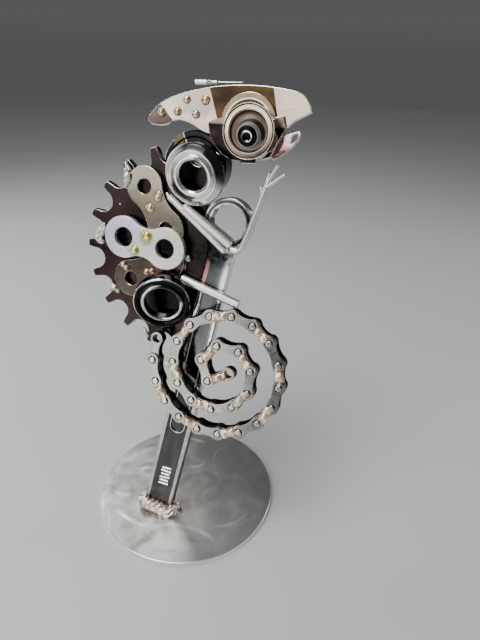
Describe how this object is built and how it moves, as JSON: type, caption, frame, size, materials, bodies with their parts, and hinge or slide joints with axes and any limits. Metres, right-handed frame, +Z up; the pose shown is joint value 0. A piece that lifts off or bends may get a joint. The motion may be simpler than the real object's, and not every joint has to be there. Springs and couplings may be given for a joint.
{
  "type": "scrap metal chameleon sculpture",
  "caption": "Chameleon figure welded from a spanner, a sprocket, chain plates, bearings and a coiled roller chain tail, standing upright on a round steel base.",
  "frame": {"origin": "centre of the round base's underside", "axes": "+Z up, -Y to the front that shows the near eye, +X the way the figure looks"},
  "size_m": [0.1282, 0.12, 0.2639],
  "materials": {
    "ground_steel": "satin, ground with cloudy swirls",
    "chrome": "polished",
    "dark_steel": "dark, heat-coloured, glossy",
    "bronzed_steel": "bronzed, worn",
    "satin_steel": "satin",
    "black_steel": "black, glossy",
    "polished_steel": "mirror polished",
    "chain_steel": "worn, bright",
    "weld_metal": "rippled weld"
  },
  "bodies": {
    "root": {"base_disc": "ground_steel", "foot_weld": "weld_metal", "spanner": "chrome", "crest_sprocket": "dark_steel", "back_plate_upper": "bronzed_steel", "back_plate_middle": "satin_steel", "back_plate_lower": "bronzed_steel", "shoulder_outer_race": "chrome", "shoulder_inner_race": "chrome", "shoulder_drum_far": "dark_steel", "hip_outer_race": "black_steel", "hip_inner_race": "chrome", "head_plate": "polished_steel", "cheek_plate": "polished_steel", "jaw": "chrome", "eye_ring_near": "polished_steel", "eye_cone_near": "polished_steel", "eye_pupil_near": "black_steel", "eye_ring_far": "polished_steel", "eye_cone_far": "polished_steel", "crest_pin": "chrome", "arm_rod_near_lower": "chrome", "arm_rod_near_upper": "chrome", "arm_rod_far": "chrome", "leg_rod": "chrome", "forearm_near": "chrome", "forearm_far": "chrome", "tail_link_01": "chain_steel", "tail_link_02": "chain_steel", "tail_link_03": "chain_steel", "tail_link_04": "chain_steel", "tail_link_05": "chain_steel", "tail_link_06": "chain_steel", "tail_link_07": "chain_steel", "tail_link_08": "chain_steel", "tail_link_09": "chain_steel", "tail_link_10": "chain_steel", "tail_link_11": "chain_steel", "tail_link_12": "chain_steel", "tail_link_13": "chain_steel", "tail_link_14": "chain_steel", "tail_link_15": "chain_steel", "tail_link_16": "chain_steel", "tail_link_17": "chain_steel", "tail_link_18": "chain_steel", "tail_link_19": "chain_steel", "tail_link_20": "chain_steel", "tail_link_21": "chain_steel", "tail_link_22": "chain_steel", "tail_link_23": "chain_steel", "tail_link_24": "chain_steel", "tail_link_25": "chain_steel", "tail_link_26": "chain_steel", "tail_link_27": "chain_steel", "tail_link_28": "chain_steel", "tail_link_29": "chain_steel"}
  },
  "joints": []
}
